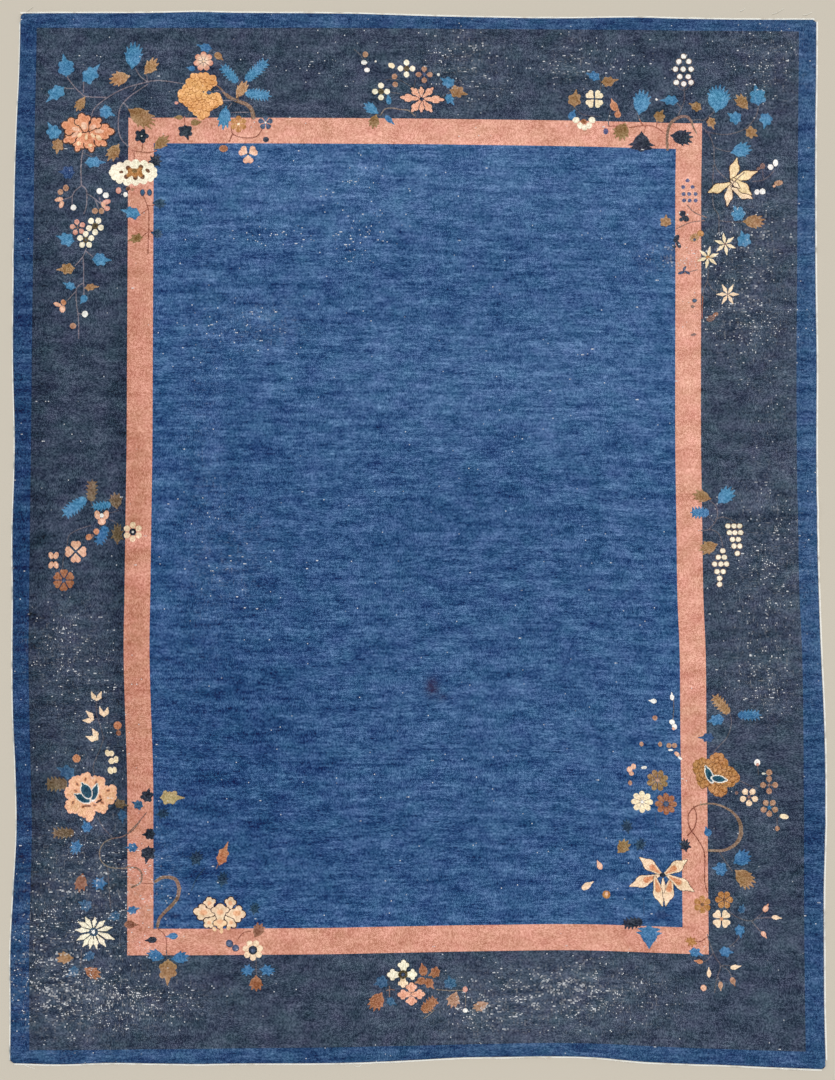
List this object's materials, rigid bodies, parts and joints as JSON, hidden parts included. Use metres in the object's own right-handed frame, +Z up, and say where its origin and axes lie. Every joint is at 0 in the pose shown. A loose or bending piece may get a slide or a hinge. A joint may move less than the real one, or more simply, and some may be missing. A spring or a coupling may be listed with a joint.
{
  "type": "chinese art deco rug",
  "caption": "Room-size hand-knotted wool rug lying flat, with an open blue field, a coral band, a dark floral border, overcast side cords and worn cotton end webs.",
  "frame": {"origin": "middle of the rug's box, on the floor", "axes": "+X across the width, to the right with the end that the picture shows at its top pointing away; +Y along the length, to that end; +Z up, out of the pile"},
  "size_m": [2.776, 3.6226, 0.015],
  "materials": {
    "wool_pile": "worn short wool pile",
    "overcast_cord": "overcast cotton cord",
    "cotton_web": "plain woven cotton with frayed warp ends"
  },
  "bodies": {
    "root": {"rug_body": "wool_pile", "side_cord_left": "overcast_cord", "side_cord_right": "overcast_cord", "end_web_top": "cotton_web", "end_web_bottom": "cotton_web"}
  },
  "joints": []
}
